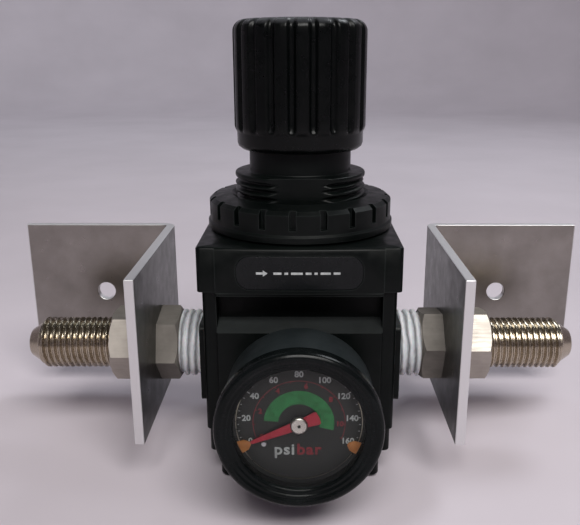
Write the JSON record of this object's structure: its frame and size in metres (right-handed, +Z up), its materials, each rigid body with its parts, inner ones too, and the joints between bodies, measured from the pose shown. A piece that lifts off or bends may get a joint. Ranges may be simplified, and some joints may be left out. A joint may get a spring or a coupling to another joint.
{
  "type": "air pressure regulator",
  "caption": "Panel-mount air pressure regulator with fluted lock knob, front dial gauge, flare adapters and angle brackets.",
  "frame": {"origin": "centre of the bottom cap's flat underside, on the knob's axis", "axes": "+Z up along the knob axis, +X along the ports towards the outlet, -Y towards the gauge"},
  "size_m": [0.135, 0.064, 0.0918],
  "materials": {
    "black_zinc": "satin black enamel on die-cast zinc",
    "black_nylon": "moulded glass-filled nylon, satin",
    "knob_plastic": "moulded acetal, semi-gloss",
    "label_film": "glossy printed film",
    "nickel_plate": "nickel plate on brass, satin",
    "bracket_metal": "bright rolled sheet",
    "ptfe_tape": "white thread tape",
    "steel": "zinc-plated steel",
    "spring_steel": "music wire",
    "nitrile": "nitrile rubber",
    "brass": "machined brass",
    "gauge_black": "glossy black case",
    "lens": "clear polycarbonate",
    "dial_plate": "dark printed dial",
    "pointer_red": "red enamel",
    "marker_orange": "orange plastic"
  },
  "bodies": {
    "regulator": {"valve_body": "black_zinc", "bottom_cap": "black_nylon", "bottom_oring": "nitrile", "case_screws": "steel", "bonnet": "black_nylon", "label_plate": "label_film", "panel_nut": "black_nylon", "range_spring": "spring_steel", "diaphragm": "nitrile", "valve_spring": "spring_steel", "port_plug": "black_zinc", "left_adapter": "nickel_plate", "right_adapter": "nickel_plate", "left_tape": "ptfe_tape", "right_tape": "ptfe_tape", "left_bracket": "bracket_metal", "right_bracket": "bracket_metal", "left_locknut": "nickel_plate", "right_locknut": "nickel_plate", "gauge_socket": "brass", "gauge_case": "gauge_black", "gauge_bezel": "gauge_black", "gauge_lens": "lens", "gauge_dial": "dial_plate", "movement_frame": "brass", "bourdon_tube": "brass", "stop_pin": "steel"},
    "knob": {"knob": "knob_plastic"},
    "adjusting_screw": {"adjusting_screw": "steel", "screw_clip": "spring_steel"},
    "spring_rest": {"spring_rest": "brass"},
    "diaphragm_plate": {"diaphragm_plate": "steel", "relief_seat": "nitrile"},
    "valve": {"valve_poppet": "brass", "valve_disc": "nitrile"},
    "pointer": {"gauge_pointer": "pointer_red", "pointer_shaft": "brass"},
    "sector_gear": {"sector_gear": "brass"},
    "tube_link": {"tube_link": "brass"},
    "low_marker": {"low_marker": "marker_orange"},
    "high_marker": {"high_marker": "marker_orange"}
  },
  "joints": [
    {"name": "knob_turn", "type": "hinge", "parent": "regulator", "child": "adjusting_screw", "pos_m": [0, 0, 0.07], "axis": [0, 0, 1], "range_deg": [-1800, 0]},
    {"name": "knob_lock", "type": "slide", "parent": "adjusting_screw", "child": "knob", "axis": [0, 0, 1], "range_m": [-0.004, 0]},
    {"name": "spring_rest_travel", "type": "slide", "parent": "regulator", "child": "spring_rest", "axis": [0, 0, 1], "range_m": [-0.005, 0], "deforming": ["range_spring"]},
    {"name": "diaphragm_travel", "type": "slide", "parent": "regulator", "child": "diaphragm_plate", "axis": [0, 0, 1], "range_m": [-0.001, 0], "stiffness_N_per_m": 150, "springref_m": 0.002, "deforming": ["diaphragm"]},
    {"name": "valve_travel", "type": "slide", "parent": "regulator", "child": "valve", "axis": [0, 0, 1], "range_m": [-0.001, 0], "stiffness_N_per_m": 150, "springref_m": 0.002, "deforming": ["valve_spring"]},
    {"name": "sector_swing", "type": "hinge", "parent": "regulator", "child": "sector_gear", "pos_m": [0, -0.0322, 0.0156], "axis": [0, -1, 0], "range_deg": [0, 45], "stiffness_Nm_per_rad": 0.0003},
    {"name": "pointer_sweep", "type": "hinge", "parent": "regulator", "child": "pointer", "pos_m": [0, -0.0322, 0.0228], "axis": [0, 1, 0], "range_deg": [0, 225]},
    {"name": "link_swing", "type": "hinge", "parent": "sector_gear", "child": "tube_link", "pos_m": [-0.00122, -0.0325, 0.01264], "axis": [0, -1, 0], "range_deg": [-45, 0]},
    {"name": "low_marker_turn", "type": "hinge", "parent": "regulator", "child": "low_marker", "pos_m": [0, -0.0364, 0.0228], "axis": [0, 1, 0], "range_deg": [0, 110]},
    {"name": "high_marker_turn", "type": "hinge", "parent": "regulator", "child": "high_marker", "pos_m": [0, -0.0368, 0.0228], "axis": [0, 1, 0], "range_deg": [-110, 0]}
  ],
  "couplings": [
    {"joint": "knob_turn", "follows": "spring_rest_travel", "rad_per_m": 6283.2},
    {"joint": "valve_travel", "follows": "diaphragm_travel", "ratio": 1},
    {"joint": "pointer_sweep", "follows": "sector_swing", "ratio": 5},
    {"joint": "link_swing", "follows": "sector_swing", "ratio": -1}
  ]
}
